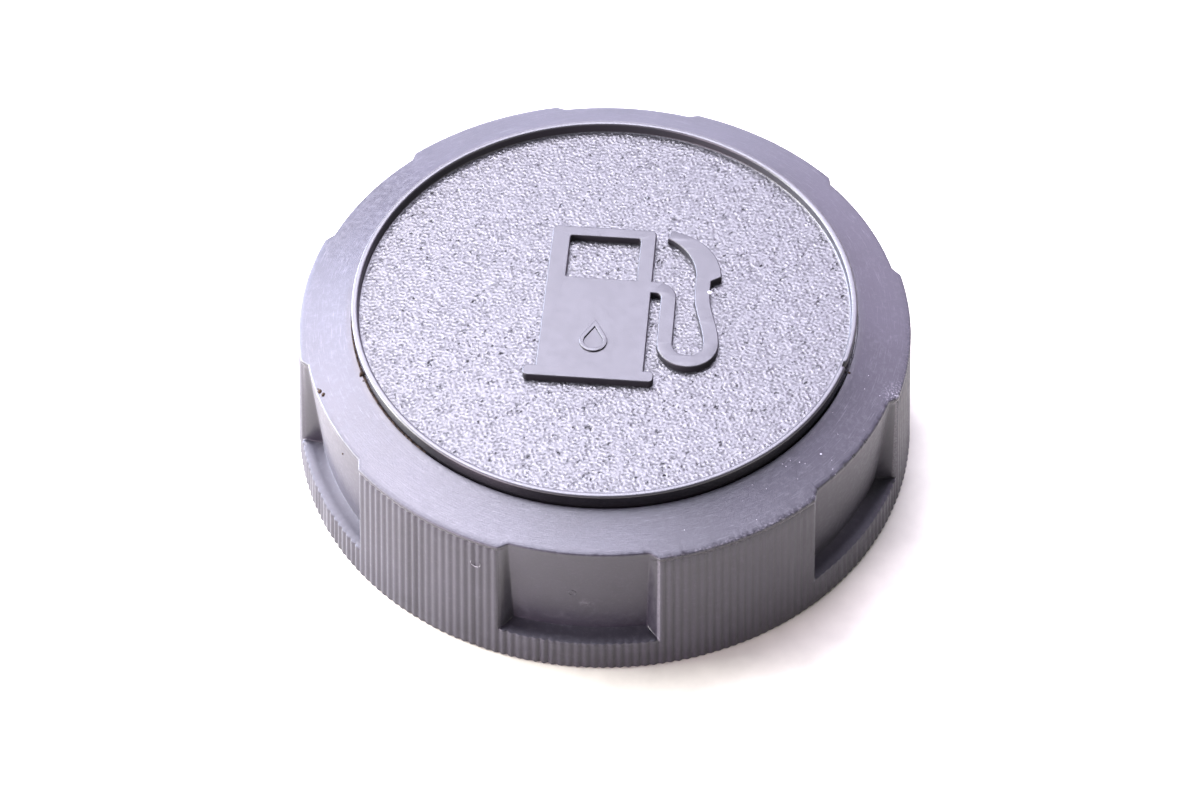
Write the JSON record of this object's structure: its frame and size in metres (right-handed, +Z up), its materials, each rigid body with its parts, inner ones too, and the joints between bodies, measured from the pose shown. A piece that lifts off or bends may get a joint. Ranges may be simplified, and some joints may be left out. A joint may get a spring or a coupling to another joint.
{
  "type": "fuel filler cap",
  "caption": "Round screw-on fuel filler cap: ribbed grip with finger pockets, inlaid cover with a raised pump symbol, ratchet closure and vent valve inside.",
  "frame": {"origin": "centre of the grip's rim, on the surface that the cap stands on", "axes": "+Z up along the cap's axis through the cover disc; -Y towards one finger pocket, and the pump symbol reads upright along +Y"},
  "size_m": [0.0784, 0.0784, 0.0229],
  "materials": {
    "grip_plastic": "moulded satin black plastic, lightly scuffed",
    "cover_plastic": "pebble-grained black plastic with smooth raised symbol and bead",
    "closure_plastic": "moulded black acetal",
    "natural_plastic": "natural moulded acetal",
    "seal_rubber": "smooth black nitrile rubber",
    "spring_steel": "bright drawn spring steel",
    "screw_steel": "zinc-plated steel",
    "valve_brass": "turned brass",
    "filter_foam": "open-cell dark foam"
  },
  "bodies": {
    "grip": {"grip_shell": "grip_plastic", "cover_disc": "cover_plastic", "retaining_ring": "natural_plastic", "wave_washer": "spring_steel"},
    "closure": {"threaded_closure": "closure_plastic", "torque_ring": "natural_plastic", "neck_gasket": "seal_rubber", "valve_housing": "closure_plastic", "valve_seat": "natural_plastic", "housing_o_ring": "seal_rubber", "housing_screws": "screw_steel", "splash_shield": "natural_plastic", "pressure_spring": "spring_steel", "valve_cover": "natural_plastic", "breather_filter": "filter_foam", "filter_cap": "natural_plastic"},
    "pressure_valve": {"pressure_plate": "valve_brass", "valve_seal": "seal_rubber", "vacuum_spring": "spring_steel"},
    "vacuum_valve": {"vacuum_poppet": "valve_brass", "vacuum_clip": "spring_steel"}
  },
  "joints": [
    {"name": "ratchet_slip", "type": "hinge", "parent": "grip", "child": "closure", "pos_m": [0, 0, 0.008], "axis": [0, 0, 1], "range_deg": [0, 360], "deforming": ["torque_ring"]},
    {"name": "pressure_lift", "type": "slide", "parent": "closure", "child": "pressure_valve", "axis": [0, 0, 1], "range_m": [0, 0.0012], "stiffness_N_per_m": 500, "springref_m": -0.005, "deforming": ["pressure_spring"]},
    {"name": "vacuum_drop", "type": "slide", "parent": "pressure_valve", "child": "vacuum_valve", "axis": [0, 0, -1], "range_m": [0, 0.0012], "stiffness_N_per_m": 60, "springref_m": -0.004, "deforming": ["vacuum_spring"]}
  ]
}
